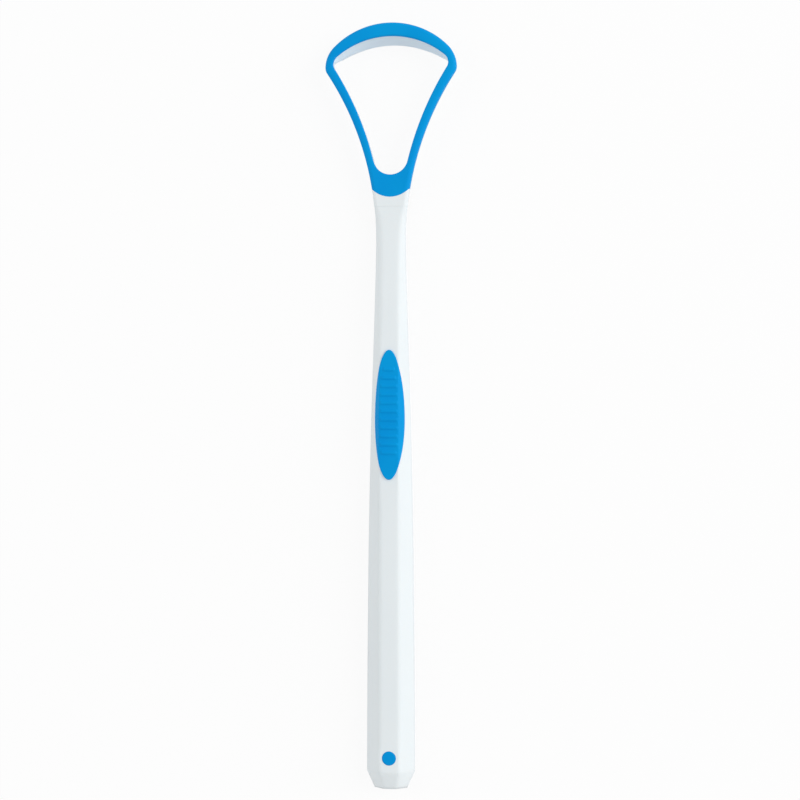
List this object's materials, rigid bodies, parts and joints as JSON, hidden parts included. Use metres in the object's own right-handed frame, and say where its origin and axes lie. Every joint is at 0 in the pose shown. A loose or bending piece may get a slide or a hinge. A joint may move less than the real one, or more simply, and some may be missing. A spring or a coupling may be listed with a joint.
{
  "type": "tongue scraper",
  "caption": "Two-material tongue scraper: a six-sided white handle with a ribbed thumb grip, and a rounded loop with a slanted scraping lip behind its arch.",
  "frame": {"origin": "Middle of the bounding box, at the height of the flat back on which the tool lies", "axes": "+X across the tool, +Y from the butt to the top of the loop, +Z out of the front with the thumb grip"},
  "size_m": [0.0276, 0.16, 0.0076],
  "materials": {
    "white_plastic": "satin moulded, opaque white",
    "cover_rubber": "soft satin, bright blue",
    "grip_rubber": "soft satin, bright blue",
    "plug_rubber": "soft satin, bright blue"
  },
  "bodies": {
    "root": {"handle_core": "white_plastic", "loop_cover": "cover_rubber", "thumb_grip": "grip_rubber", "end_plug": "plug_rubber"}
  },
  "joints": []
}
